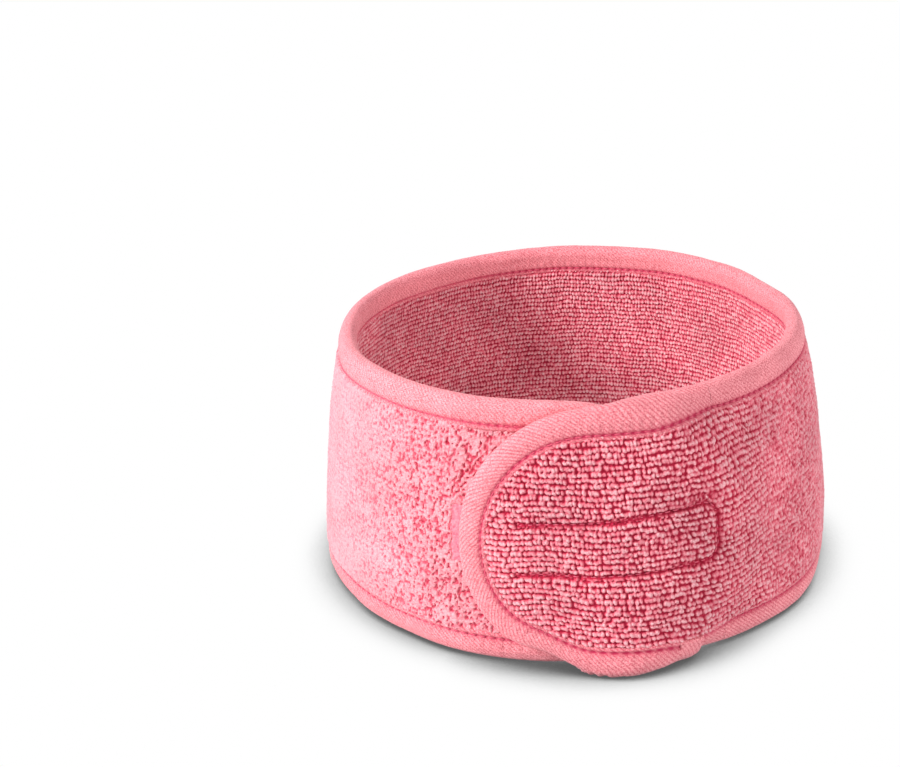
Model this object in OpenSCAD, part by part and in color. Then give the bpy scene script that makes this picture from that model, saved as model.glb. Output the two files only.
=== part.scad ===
// Spa headband: a strip of two towelling plies bound all round with a folded
// tape, curled into a ring and closed by a hook strip on the overlapping flap
// and a loop strip on the end beneath it.
//
// Frame: +Z up the ring's axis, the ring stands on its lower edge at z = 0,
// the flap closes at the front (-Y) and its tip points to -X. Azimuths are
// measured from the front, positive towards +X. All sizes are millimetres.

/* [Band] */
// Height of the band from edge to edge
band_h = 85; // [76:1:96]
// Radius of the seam between the two plies, at the widest level
ring_r = 82.8; // [76:0.2:92]
// How far the upper rim leans in from the widest level
top_lean = 8.6; // [2:0.2:12]
// How far the lower rim tucks in
bottom_tuck = 1.1; // [0:0.1:3]

/* [Towelling] */
// Thickness of one ply with its pile
ply_t = 2.7; // [2.2:0.1:2.9]
// Thickness of one ply where the tape squeezes it
ply_pressed = 1.5; // [1.3:0.05:1.6]

/* [Edge tape] */
// Width of the tape on each face
tape_w = 10; // [8:0.5:14]
// Thickness of the tape
tape_t = 0.95; // [0.7:0.05:1]
// Distance of the seam from the edge
seam_in = 8.0; // [6:0.2:9]
// Length of the turned-under lap where the tape's two ends meet
lap_len = 16; // [10:1:20]

/* [Closure] */
// Azimuth of the flap's tip
flap_tip_az = -23.4; // [-26:0.2:-18]
// Azimuth of the end beneath the flap
under_tip_az = 28; // [24:0.5:30]
// Radial step of the flap over the end beneath it
flap_step = 6.0; // [6:0.1:8]
// How much further the flap's lower edge stands out
flap_flare = 2.2; // [0:0.1:4]
// Height of the hook and loop strips
strip_h = 19.5; // [14:0.5:22]
// Thickness of each strip
strip_t = 1.0; // [0.8:0.1:1.2]

/* [Folds] */
// Half of the gap between two neighbouring segments, in degrees
fold_gap = 0.4; // [0.3:0.05:1]
// Half of the gap at the flap's fold, in degrees
flap_gap = 0.5; // [0.4:0.05:1]

/* [Hidden] */
$fn = 96;

pink = [0.96, 0.60, 0.66];
pink_tape = [0.97, 0.63, 0.68];
pink_inner = [0.88, 0.50, 0.55];
pink_thread = [0.86, 0.42, 0.50];
hook_col = [0.93, 0.66, 0.70];
loop_col = [0.90, 0.45, 0.55];

zc = band_h / 2;
// Azimuths of the folds between segments
az_flap = 46;
az_under = -42;
seg = (360 - (az_flap - az_under)) / 5;
az_rf = az_flap + seg;        // between right_front and right_back
az_rb = az_rf + seg;          // between right_back and back
az_lb = az_rb + seg;          // between back and left_back
az_lf = az_lb + seg;          // between left_back and left_front

// Seam radius against height, as a share of the band's height
lean = [[0, ring_r - bottom_tuck], [0.12, ring_r], [0.30, ring_r - 0.04 * top_lean],
        [0.50, ring_r - 0.15 * top_lean], [0.70, ring_r - 0.36 * top_lean],
        [0.86, ring_r - 0.64 * top_lean], [1, ring_r - top_lean]];
function rho(z) = lookup(max(0, min(1, z / band_h)), lean);
function smooth(t) = let (u = max(0, min(1, t))) u * u * (3 - 2 * u);
// Radial step of the flap: none at its fold, full where it lies on the other end
function step_at(a) = flap_step * smooth((az_flap - flap_gap - a) / 14);

// The origin is the middle of the whole part's plan: the flap adds to the front
shift_y = 3.84;
function flare_at(z) = let (u = 1 - z / band_h) 1 + flap_flare / flap_step * u * u;
function P(a, z, n, flap) =
  let (r = rho(z) + n + (flap ? step_at(a) * flare_at(z) : 0)) [r * sin(a), -r * cos(a) + shift_y, z];

// ---- solids of revolution for the plain segments ----
ply_z = [1.1, tape_w + 0.2, tape_w + 1.6, 0.30 * band_h, 0.50 * band_h, 0.70 * band_h,
         band_h - tape_w - 1.6, band_h - tape_w - 0.2, band_h - 1.1];
function ply_n(z) = min(z, band_h - z) < tape_w + 0.5 ? ply_pressed : ply_t;
function ply_outline(side) = concat(
  [for (z = ply_z) [rho(z) + side * 0.03, z]],
  [for (i = [len(ply_z) - 1:-1:0]) [rho(ply_z[i]) + side * ply_n(ply_z[i]), ply_z[i]]]);

// Section of the folded tape: w is the distance in from the edge, n the radial
// offset. Each face has a shallow groove where the seam pulls the tape down.
tape_in = ply_pressed + 0.3;
tape_out = tape_in + tape_t;
groove = 0.45;
tape_half = [[tape_w, tape_out - 0.2], [seam_in + 0.9, tape_out], [seam_in + 0.45, tape_out - groove],
  [seam_in - 0.45, tape_out - groove], [seam_in - 0.9, tape_out], [2.2, tape_out], [0.6, tape_out - 0.7], [0, tape_out - 1.7]];
lining = [for (i = [0:7]) [max(0.95, tape_half[i][0]), i < 7 ? tape_in : tape_in * 0.4]];
tape_section = concat(tape_half,
  [for (i = [7:-1:0]) [tape_half[i][0], -tape_half[i][1]]],
  [for (i = [0:7]) [lining[i][0], -lining[i][1]]],
  [for (i = [7:-1:0]) lining[i]]);
thread_n = tape_out - groove + 0.31;

module arc(a1, a2, gap1, gap2) {
  translate([0, shift_y, 0]) rotate([0, 0, a1 + gap1 - 90])
    rotate_extrude(angle = a2 - a1 - gap1 - gap2) children();
}
module ply_arc(side, a1, a2, g1 = fold_gap, g2 = fold_gap)
  color(side > 0 ? pink : pink_inner) arc(a1, a2, g1, g2) polygon(ply_outline(side));
module tape_arc(top, a1, a2, g1 = fold_gap, g2 = fold_gap)
  color(pink_tape) arc(a1, a2, g1, g2)
    polygon([for (p = tape_section) let (z = top ? band_h - p[0] : p[0]) [rho(z) + p[1], z]]);
// Two rows of thread on each face, one for each edge
module seam_arc(a1, a2, g1 = fold_gap, g2 = fold_gap)
  color(pink_thread) for (z = [seam_in, band_h - seam_in], s = [1, -1])
    arc(a1, a2, g1 + 0.3, g2 + 0.3)
      translate([rho(z) + s * thread_n, z]) square([0.32, 0.5], center = true);

// ---- lofted solids for the two rounded ends ----
// rings is a list of closed loops with the same even number of points: the first
// half runs along one side and the second half comes back along the other
module loft(rings) {
  m = len(rings[0]);
  k = len(rings);
  polyhedron(
    points = [for (r = rings) each r],
    faces = concat(
      [for (j = [0:k - 2], i = [0:m - 1]) [j * m + i, (j + 1) * m + i, (j + 1) * m + (i + 1) % m]],
      [for (j = [0:k - 2], i = [0:m - 1]) [j * m + i, (j + 1) * m + (i + 1) % m, j * m + (i + 1) % m]],
      [for (i = [0:m / 2 - 2]) each [[i, i + 1, m - 2 - i], [i, m - 2 - i, m - 1 - i]]],
      let (o = (k - 1) * m)
        [for (i = [0:m / 2 - 2]) each [[o + m - 2 - i, o + i + 1, o + i], [o + m - 1 - i, o + m - 2 - i, o + i]]]));
}

// An end is described by: the fold it starts from, the gap there, the way its tip
// points (-1 to -X, +1 to +X), the radius its outline is measured on, and flap or not
FLAP = [az_flap, flap_gap, -1, ring_r + flap_step, true, flap_tip_az];
UNDER = [az_under, fold_gap, 1, ring_r - 1, false, under_tip_az];
function tip_r() = band_h / 2;
function az_centre(e) = e[5] - e[2] * tip_r() / e[3] * 180 / PI;
function az_root(e) = e[0] + e[2] * e[1];
function az_out(e, x) = az_centre(e) + e[2] * x / e[3] * 180 / PI;

// Distance past the tip's centre, and how far a point lies inside the outline
function past(e, a) = max(0, e[2] * (a - az_centre(e))) * e[3] * PI / 180;
function inside(e, a, v) = tip_r() - (past(e, a) > 0 ? norm([past(e, a), v]) : abs(v));
function half_at(e, w, a) = sqrt(max(0, pow(tip_r() - w, 2) - pow(past(e, a), 2)));
// Thickness of a ply: pressed under the tape and beneath the strip sewn to it
function ply_at(e, a, v, bed, sunk) = let (d = inside(e, a, v),
    full = ply_pressed + (ply_t - ply_pressed) * smooth((d - tape_w - 0.6) / 1.4),
    pressed = sunk && a > bed[0] - 0.35 && a < bed[1] + 0.35 && abs(v - strip_drop) < strip_h / 2 + 0.5)
  pressed ? min(full, ply_t - strip_t - 0.1) : full;
// One ply of an end, lofted from its root to its rounded tip; the bed is the
// range of azimuths where a strip is sewn to it
module end_sheet(e, side, bed, sunk) loft([for (a = sheet_az(e, bed)) let (
    h1 = half_at(e, 1.1, a), h2 = max(0.62 * h1, half_at(e, tape_w + 0.6, a)), h3 = max(0.54 * h1, half_at(e, tape_w + 2, a)),
    b1 = min(strip_h / 2 + 0.8, 0.8 * h3), b2 = min(strip_h / 2 + 0.4, 0.6 * h3),
    vs = [-h1, -h2, -h3, -b1 + strip_drop * min(1, h3 / 12), -b2 + strip_drop * min(1, h3 / 12), 0,
          b2 + strip_drop * min(1, h3 / 12), b1 + strip_drop * min(1, h3 / 12), h3, h2, h1],
    skin = [for (v = vs) P(a, zc + v, side * ply_at(e, a, v, bed, sunk), e[4])],
    core = [for (v = vs) P(a, zc + v, side * 0.03, e[4])],
    hi = side > 0 ? skin : core, lo = side > 0 ? core : skin,
    u = concat(hi, [for (i = [len(vs) - 1:-1:0]) lo[i]]))
  e[2] > 0 ? [for (i = [len(u) - 1:-1:0]) u[i]] : u]);
// Azimuths of the sections, closer together where the bed begins and ends
function sheet_az(e, bed) = let (
    r0 = az_root(e), c = az_centre(e), s = e[2],
    near = s < 0 ? bed[1] : bed[0], far = s < 0 ? bed[0] : bed[1],
    tip = az_out(e, (tip_r() - 1.1) * 0.993))
  concat([for (i = [0:9]) r0 + (near - s * 0.8 - r0) * i / 9],
    [near - s * 0.3, near + s * 0.6], [for (i = [1:5]) near + (c - near) * i / 6], [c],
    [for (i = [1:10]) c + (far - s * 0.1 - c) * i / 10],
    [far + s * 0.4, az_out(e, tip_r() - tape_w - 2), az_out(e, tip_r() - tape_w - 0.6)],
    [for (i = [1:5]) let (b = az_out(e, tip_r() - tape_w - 0.6)) b + (tip - b) * sin(i * 18)]);

// A patch of the sheet between two azimuths and two heights
module patch(e, a1, a2, z1, z2, n1, n2) let (k = max(1, ceil((a2 - a1) / 5))) loft([for (i = [0:k]) let (a = a2 + (a1 - a2) * i / k)
  [P(a, z1, n2, e[4]), P(a, (z1 + z2) / 2, n2, e[4]), P(a, z2, n2, e[4]),
   P(a, z2, n1, e[4]), P(a, (z1 + z2) / 2, n1, e[4]), P(a, z1, n1, e[4])]]);

// Path of the edge: along the top, round the tip and back along the bottom.
// Each station gives the azimuth and height of a point w inside the edge.
function edge_at(e, u, w) =
  u <= 1 ? [az_root(e) + (az_centre(e) - az_root(e)) * u, band_h - w]
  : u <= 2 ? let (q = (u - 1) * 180) [az_out(e, (tip_r() - w) * sin(q)), zc + (tip_r() - w) * cos(q)]
  : [az_centre(e) + (az_root(e) - az_centre(e)) * (u - 2), w];
function edge_stations() = concat([for (i = [0:15]) i / 16], [for (i = [0:17]) 1 + i / 18], [for (i = [0:16]) 2 + i / 16]);
module edge_sweep(e, section, us) loft([for (u = us)
  let (r = [for (p = section) let (c = edge_at(e, u, p[0])) P(c[0], c[1], p[1], e[4])])
    e[2] < 0 ? r : [for (i = [len(r) - 1:-1:0]) r[i]]]);

function bar(w, n, hw, hn) = [[w + hw, n + hn], [w - hw, n + hn], [w - hw, n - hn], [w + hw, n - hn]];
module end_seam(e) color(pink_thread) for (s = [1, -1])
  edge_sweep(e, bar(seam_in, s * thread_n, 0.25, 0.16),
    [for (u = edge_stations()) max(0.03, min(2.97, u))]);

// ---- hook and loop strips ----
hook_az = [-12.6, 30.4];
loop_az = [-27.4, 18.5];
strip_drop = -0.9;
strip_z = [zc + strip_drop - strip_h / 2, zc + strip_drop + strip_h / 2];

module outer_terry_flap() color(pink) end_sheet(FLAP, 1, hook_az, false);
module inner_terry_flap() color(pink_inner) end_sheet(FLAP, -1, hook_az, true);
module hook_strip() color(hook_col)
  patch(FLAP, hook_az[0], hook_az[1], strip_z[0], strip_z[1], -ply_t - 0.05, -ply_t + strip_t - 0.05);
module hook_strip_seam() color(pink_thread) {
  n1 = ply_t + 0.12; n2 = ply_t + 0.40;
  patch(FLAP, hook_az[0] + 2.6, hook_az[1] - 0.4, strip_z[1] - 1.2, strip_z[1] - 0.7, n1, n2);
  patch(FLAP, hook_az[0] + 2.6, hook_az[1] - 0.4, strip_z[0] + 0.7, strip_z[0] + 1.2, n1, n2);
  patch(FLAP, hook_az[1] - 0.95, hook_az[1] - 0.6, strip_z[0] + 1.5, strip_z[1] - 1.5, n1, n2);
}
module outer_terry_under_end() color(pink) end_sheet(UNDER, 1, loop_az, true);
module inner_terry_under_end() color(pink_inner) end_sheet(UNDER, -1, loop_az, false);
module loop_strip() color(loop_col)
  patch(UNDER, loop_az[0], loop_az[1], strip_z[0], strip_z[1], ply_t - strip_t + 0.05, ply_t + 0.05);
module loop_strip_seam() color(pink_thread) {
  n1 = -ply_t - 0.40; n2 = -ply_t - 0.12;
  patch(UNDER, loop_az[0] + 0.4, loop_az[1] - 0.4, strip_z[1] - 1.2, strip_z[1] - 0.7, n1, n2);
  patch(UNDER, loop_az[0] + 0.4, loop_az[1] - 0.4, strip_z[0] + 0.7, strip_z[0] + 1.2, n1, n2);
  patch(UNDER, loop_az[0] + 0.6, loop_az[0] + 0.95, strip_z[0] + 1.5, strip_z[1] - 1.5, n1, n2);
  patch(UNDER, loop_az[1] - 0.95, loop_az[1] - 0.6, strip_z[0] + 1.5, strip_z[1] - 1.5, n1, n2);
}

// ---- edge tape of the two ends ----
// The tape's cut end is turned under and laps over its start on the flap's lower edge
lap_az = 24.4;
lap_t = 0.6;
lap_section = [
  [tape_w - 0.4, tape_out + 0.16], [tape_w - 0.4, tape_out + lap_t], [1.4, tape_out + lap_t],
  [1.4, tape_out + 0.16]];
module binding_flap() color(pink_tape) edge_sweep(FLAP, tape_section, edge_stations());
module binding_lap() color(pink_tape) {
  u_lap = 2 + (lap_az - az_centre(FLAP)) / (az_root(FLAP) - az_centre(FLAP));
  du = lap_len / ((PI / 180) * FLAP[3]) / (az_root(FLAP) - az_centre(FLAP));
  edge_sweep(FLAP, lap_section, [for (i = [0:4]) u_lap - du * (1 - i / 4)]);
}
module binding_under_end() color(pink_tape) edge_sweep(UNDER, tape_section, edge_stations());

// ---- plain segments ----
module outer_terry_right_front() ply_arc(1, az_flap, az_rf, flap_gap, fold_gap);
module inner_terry_right_front() ply_arc(-1, az_flap, az_rf, flap_gap, fold_gap);
module top_binding_right_front() tape_arc(true, az_flap, az_rf, flap_gap, fold_gap);
module bottom_binding_right_front() tape_arc(false, az_flap, az_rf, flap_gap, fold_gap);
module binding_seam_right_front() seam_arc(az_flap, az_rf, flap_gap, fold_gap);

module outer_terry_right_back() ply_arc(1, az_rf, az_rb);
module inner_terry_right_back() ply_arc(-1, az_rf, az_rb);
module top_binding_right_back() tape_arc(true, az_rf, az_rb);
module bottom_binding_right_back() tape_arc(false, az_rf, az_rb);
module binding_seam_right_back() seam_arc(az_rf, az_rb);

module outer_terry_back() ply_arc(1, az_rb, az_lb);
module inner_terry_back() ply_arc(-1, az_rb, az_lb);
module top_binding_back() tape_arc(true, az_rb, az_lb);
module bottom_binding_back() tape_arc(false, az_rb, az_lb);
module binding_seam_back() seam_arc(az_rb, az_lb);

module outer_terry_left_back() ply_arc(1, az_lb, az_lf);
module inner_terry_left_back() ply_arc(-1, az_lb, az_lf);
module top_binding_left_back() tape_arc(true, az_lb, az_lf);
module bottom_binding_left_back() tape_arc(false, az_lb, az_lf);
module binding_seam_left_back() seam_arc(az_lb, az_lf);

module outer_terry_left_front() ply_arc(1, az_lf, 360 + az_under);
module inner_terry_left_front() ply_arc(-1, az_lf, 360 + az_under);
module top_binding_left_front() tape_arc(true, az_lf, 360 + az_under);
module bottom_binding_left_front() tape_arc(false, az_lf, 360 + az_under);
module binding_seam_left_front() seam_arc(az_lf, 360 + az_under);

outer_terry_back();
inner_terry_back();
top_binding_back();
bottom_binding_back();
binding_seam_back();
outer_terry_left_back();
inner_terry_left_back();
top_binding_left_back();
bottom_binding_left_back();
binding_seam_left_back();
outer_terry_left_front();
inner_terry_left_front();
top_binding_left_front();
bottom_binding_left_front();
binding_seam_left_front();
outer_terry_right_back();
inner_terry_right_back();
top_binding_right_back();
bottom_binding_right_back();
binding_seam_right_back();
outer_terry_right_front();
inner_terry_right_front();
top_binding_right_front();
bottom_binding_right_front();
binding_seam_right_front();
outer_terry_under_end();
inner_terry_under_end();
binding_under_end();
end_seam(UNDER);  // binding_seam_under_end
loop_strip();
loop_strip_seam();
outer_terry_flap();
inner_terry_flap();
binding_flap();
binding_lap();
end_seam(FLAP);  // binding_seam_flap
hook_strip();
hook_strip_seam();
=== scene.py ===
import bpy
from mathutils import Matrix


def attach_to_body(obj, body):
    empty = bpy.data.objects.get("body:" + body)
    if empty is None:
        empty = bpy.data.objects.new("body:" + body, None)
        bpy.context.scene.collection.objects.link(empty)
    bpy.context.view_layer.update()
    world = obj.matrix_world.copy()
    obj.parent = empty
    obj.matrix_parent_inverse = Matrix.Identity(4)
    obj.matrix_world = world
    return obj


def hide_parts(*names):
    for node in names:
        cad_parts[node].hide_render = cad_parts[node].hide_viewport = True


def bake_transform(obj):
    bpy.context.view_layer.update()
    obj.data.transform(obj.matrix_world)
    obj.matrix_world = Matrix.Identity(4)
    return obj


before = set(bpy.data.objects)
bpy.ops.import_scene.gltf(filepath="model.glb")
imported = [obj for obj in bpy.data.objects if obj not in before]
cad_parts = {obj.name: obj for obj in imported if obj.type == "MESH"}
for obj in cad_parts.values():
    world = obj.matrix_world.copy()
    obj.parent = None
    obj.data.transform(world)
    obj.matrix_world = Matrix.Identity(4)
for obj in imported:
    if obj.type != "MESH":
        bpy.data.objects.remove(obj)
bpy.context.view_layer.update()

import math

import bpy
import numpy as np
from mathutils import Matrix, Vector

# All lengths below are millimetres until a mesh is made.
H = 85.0
ZC = H / 2
SY = 3.84                 # the ring's axis in the frame
R_ARC = 85.5              # radius on which lengths along the ring are measured
STEP = 6.0                # the flap's stand-off from the end beneath
SEAM_IN = 7.9
TAPE_W = 9.6
F_TIP, F_R = -23.4, 88.8  # flap: azimuth of the tip, radius its outline is measured on
U_TIP, U_R = 388.0, 81.8  # the end beneath
F_C = F_TIP + math.degrees(ZC / F_R)
U_C = U_TIP - math.degrees(ZC / U_R)
CUTS = [32.0, 60.0, 127.5, 182.0, 236.5, 290.75, 345.0]
DA = 0.22


# ---------------------------------------------------------------- helpers
def smooth(t):
    t = np.clip(t, 0.0, 1.0)
    return t * t * (3 - 2 * t)


def h01(i, j, seed):
    """A repeatable random number from 0 to 1 for every pair of whole numbers."""
    x = (np.asarray(i).astype(np.int64) * 73856093) ^ (np.asarray(j).astype(np.int64) * 19349663) ^ (seed * 83492791)
    x = (x ^ (x >> 13)) & 0x7FFFFFFF
    x = (x * 1103515245 + 12345) & 0x7FFFFFFF
    x = (x ^ (x >> 11)) & 0x7FFFFFFF
    x = (x * 69069 + 362437) & 0x7FFFFFFF
    x = x ^ (x >> 15)
    return (x & 0xFFFFFF) / float(0x1000000)


def vnoise(x, y, seed):
    """Smooth value noise, -1 to 1."""
    i, j = np.floor(x), np.floor(y)
    fx, fy = x - i, y - j
    fx, fy = fx * fx * (3 - 2 * fx), fy * fy * (3 - 2 * fy)
    i, j = i.astype(np.int64), j.astype(np.int64)
    a = h01(i, j, seed) * (1 - fx) + h01(i + 1, j, seed) * fx
    b = h01(i, j + 1, seed) * (1 - fx) + h01(i + 1, j + 1, seed) * fx
    return (a * (1 - fy) + b * fy) * 2 - 1


# ---------------------------------------------------------------- the strip's surface
ZK = [-8, 0, 3, 8, 13, 21, 30, 42.5, 54, 65, 73, 80, 85, 93]
RK = [82.2, 82.8, 83.1, 83.5, 83.6, 83.4, 82.7, 81.5, 80.2, 78.4, 76.7, 75.2, 74.0, 71.5]
_z = np.linspace(-8, 93, 1011)
_r = np.interp(_z, ZK, RK)
_k = np.exp(-0.5 * (np.arange(-60, 61) / 22.0) ** 2)
_r = np.convolve(np.pad(_r, 60, mode="edge"), _k / _k.sum(), mode="valid")


def rho(z):
    return np.interp(z, _z, _r)


# how far the upper and the lower rim run outside or inside that profile, azimuth by azimuth
TOP_A = [-24, -13, -5.5, 2, 9, 17, 26, 35, 46, 55, 75, 94, 107, 120, 134, 144, 154, 167, 180, 193, 206, 216, 227, 240, 255, 265, 285, 310, 326, 339, 347, 355, 362, 388]
TOP_R = [2.6, 2.1, 2.2, 2.4, 2.0, 2.0, 1.4, -0.2, -0.3, -0.8, -0.5, -0.2, -0.9, -1.0, 0.2, 1.2, 2.4, 1.9, 2.2, 1.6, 1.2, 0.2, 0.4, -0.1, 0.7, 0.2, 1.4, 3.1, 2.6, 2.9, 2.2, 2.3, 2.4, 2.2]
LOW_A = [-24, -8, -1, 4.6, 10, 14, 18, 23, 28, 36, 46, 57, 75, 95, 180, 260, 293, 319, 336, 349, 362, 388]
LOW_R = [0.3, 0.3, 0.6, 2.2, 4.6, 4.9, 4.1, 3.2, 2.3, 1.5, 1.2, 1.7, 0.6, 0.1, 0.5, 0.1, 1.1, 0.6, 1.9, 1.2, 1.0, 0.8]
_a = np.linspace(-60, 420, 961)
_kr = np.exp(-0.5 * (np.arange(-24, 25) / 7.0) ** 2)
_kr = _kr / _kr.sum()
_top = np.convolve(np.pad(np.interp(_a, TOP_A, TOP_R), 24, mode="edge"), _kr, mode="valid")
_low = np.convolve(np.pad(np.interp(_a, LOW_A, LOW_R), 24, mode="edge"), _kr, mode="valid")


def under_reach(v):
    """Azimuth to which the end beneath the flap reaches at height v."""
    return U_C - 360 + np.degrees(np.sqrt(np.maximum(0, ZC ** 2 - (v - ZC) ** 2)) / U_R)


def step(A, v):
    """The flap stands off wherever the end beneath is behind it, and comes back to the ring just past it."""
    w = 19.0
    return STEP * smooth((under_reach(np.clip(v, 0, H)) + 1 + w - A) / w) * (A < 100)


def wave(A, v):
    """The ring isn't perfectly round: slow swells that die out where the flap and the end beneath lie on each other."""
    a = np.radians(A)
    free = smooth((A - 50) / 30) * smooth((345 - A) / 40)
    w = 0.25 * np.sin(3 * a + 0.6) + 0.22 * np.sin(7 * a + 1.9 + v * 0.02) + 0.2 * np.sin(13 * a + 0.4 - v * 0.035)
    t = np.clip(v / H, -0.05, 1.05)
    return w * free + np.interp(A, _a, _top) * t * np.abs(t) + np.interp(A, _a, _low) * (1 - t) * np.abs(1 - t)


def rim_lift(A, v):
    """The ring's lower rim rests on the floor only in places; the flap's lower corner is drawn up a little."""
    a = np.radians(A)
    t = 1 - v / H
    ring = 0.55 + 0.3 * np.sin(5 * a + 1.0) + 0.2 * np.sin(11 * a)
    on = smooth((A - 24) / 14)
    flap = 1.35 + 3.4 * np.exp(-(((A + 6) / 6.5) ** 2))
    return (ring * on + flap * (1 - on)) * np.clip(t, 0, 1) ** 2


def mid(A, v):
    r = rho(v) + step(A, v) + wave(A, v)
    a = np.radians(A)
    return np.stack([r * np.sin(a), -r * np.cos(a) + SY, v + rim_lift(A, v)], -1)


def surf(A, v, n):
    """Point n outside the middle of the strip, at azimuth A and height v."""
    A, v, n = np.broadcast_arrays(np.asarray(A, float), np.asarray(v, float), np.asarray(n, float))
    m = mid(A, v)
    dA = mid(A + 0.1, v) - mid(A - 0.1, v)
    dv = mid(A, v + 0.2) - mid(A, v - 0.2)
    nn = np.cross(dA, dv)
    nn /= np.linalg.norm(nn, axis=-1, keepdims=True)
    p = m + nn * n[..., None]
    z = p[..., 2]
    p[..., 2] = np.where(z < 0.4, 0.4 * np.exp(np.minimum(0, z - 0.4) / 0.4), z)      # pressed flat where it meets the floor
    return p


def arc_len(A):
    """Length along the strip."""
    return np.radians(A) * R_ARC


def inside(A, v):
    """How far a point lies inside the strip's outline."""
    pf = np.maximum(0, np.radians(F_C - A) * F_R)
    pu = np.maximum(0, np.radians(A - U_C) * U_R)
    p = np.maximum(pf, pu)
    return np.where(p > 0, ZC - np.hypot(p, v - ZC), ZC - np.abs(v - ZC))


def half_at(A, w):
    pf = np.maximum(0, np.radians(F_C - A) * F_R)
    pu = np.maximum(0, np.radians(A - U_C) * U_R)
    return np.sqrt(np.maximum(0, (ZC - w) ** 2 - np.maximum(pf, pu) ** 2))


# ---------------------------------------------------------------- towelling
def loops(s, v, ps, pv, seed, jit, lean, rope):
    """Height of the pile, 0 in the ground between loops to 1 on top of a loop, and the lean of the loop there."""
    row = v / pv + 0.26 * vnoise(s / 9.0, v / 7.0, seed + 1) + 0.12 * vnoise(s / 3.1, v / 3.0, seed + 2)
    col = s / ps + 0.30 * vnoise(s / 11.0, v / 9.0, seed + 3)
    best = np.zeros_like(row)
    lx = np.zeros_like(row)
    ly = np.zeros_like(row)
    i0, j0 = np.floor(col), np.floor(row)
    for di in (-1, 0, 1):
        for dj in (-1, 0, 1):
            i, j = i0 + di, j0 + dj
            cx = i + 0.5 + (h01(j, 7 * np.ones_like(j), seed + 4) - 0.5) + jit * (h01(i, j, seed + 5) - 0.5)
            cy = j + 0.5 + jit * 0.5 * (h01(i, j, seed + 6) - 0.5)
            ang = lean + (h01(i, j, seed + 7) - 0.5) * 1.1
            dx, dy = (col - cx) * ps, (row - cy) * pv
            c, sn = np.cos(ang), np.sin(ang)
            u, w = dx * c + dy * sn, -dx * sn + dy * c
            au = ps * (0.50 + 0.12 * h01(i, j, seed + 8))
            aw = pv * (0.49 + 0.12 * h01(i, j, seed + 9))
            q2 = (u / au) ** 2 + (w / aw) ** 2
            top = 0.72 + 0.28 * h01(i, j, seed + 10)
            hh = top * np.maximum(0, 1 - q2) ** 0.42
            win = hh > best
            best = np.where(win, hh, best)
            lx = np.where(win, h01(i, j, seed + 11) - 0.5, lx)
            ly = np.where(win, h01(i, j, seed + 12) - 0.62, ly)
    ridge = rope * np.sqrt(np.maximum(0, 1 - ((row - j0 - 0.5) / 0.40) ** 2))
    return np.maximum(best, ridge), lx, ly


# box seams: a path in (A, v) with rounded corners, and the distance to it
def box_path(a1, a2, lo1, hi1, lo2, hi2, rad):
    """Stitch path of a box from azimuth a1 to a2; its edges run from (lo1, hi1) at a1 to (lo2, hi2) at a2. Rounded at a2."""
    k = R_ARC * math.pi / 180
    x1, x2 = a1 * k, a2 * k
    pts = [(x1, hi1)]
    n = 10
    cx, cy = x2 - rad, hi2 - rad
    for t in np.linspace(90, 0, n):
        pts.append((cx + rad * math.cos(math.radians(t)), cy + rad * math.sin(math.radians(t))))
    cy = lo2 + rad
    for t in np.linspace(0, -90, n):
        pts.append((cx + rad * math.cos(math.radians(t)), cy + rad * math.sin(math.radians(t))))
    pts.append((x1, lo1))
    return np.array(pts)


def path_dist(s, v, pts):
    d = np.full(s.shape, 1e9)
    for p, q in zip(pts[:-1], pts[1:]):
        e = q - p
        L = e @ e
        t = np.clip(((s - p[0]) * e[0] + (v - p[1]) * e[1]) / L, 0, 1)
        d = np.minimum(d, np.hypot(s - p[0] - t * e[0], v - p[1] - t * e[1]))
    return d


HOOK_PATH = box_path(-11.0, 28.8, 31.9, 48.6, 33.9, 52.4, 5.0)
LOOP_PATH = np.vstack([box_path(333.4, 377.6, 33.2, 50.0, 33.2, 50.0, 1.2), [[math.radians(333.4) * R_ARC, 50.0]]])
HOOK_A, LOOP_A = (-12.6, 30.4), (333.4, 378.5)
STRIP_Z = (31.85, 51.35)


def full_thickness(A, side):
    """Thickness of a ply with its pile: less where the flap and the end beneath press on each other."""
    pressed = smooth((36 - A) / 6) if side < 0 else smooth((A - 334.5) / 3)
    return 3.25 - 0.62 * pressed if side > 0 else 3.05 - 0.5 * pressed


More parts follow.
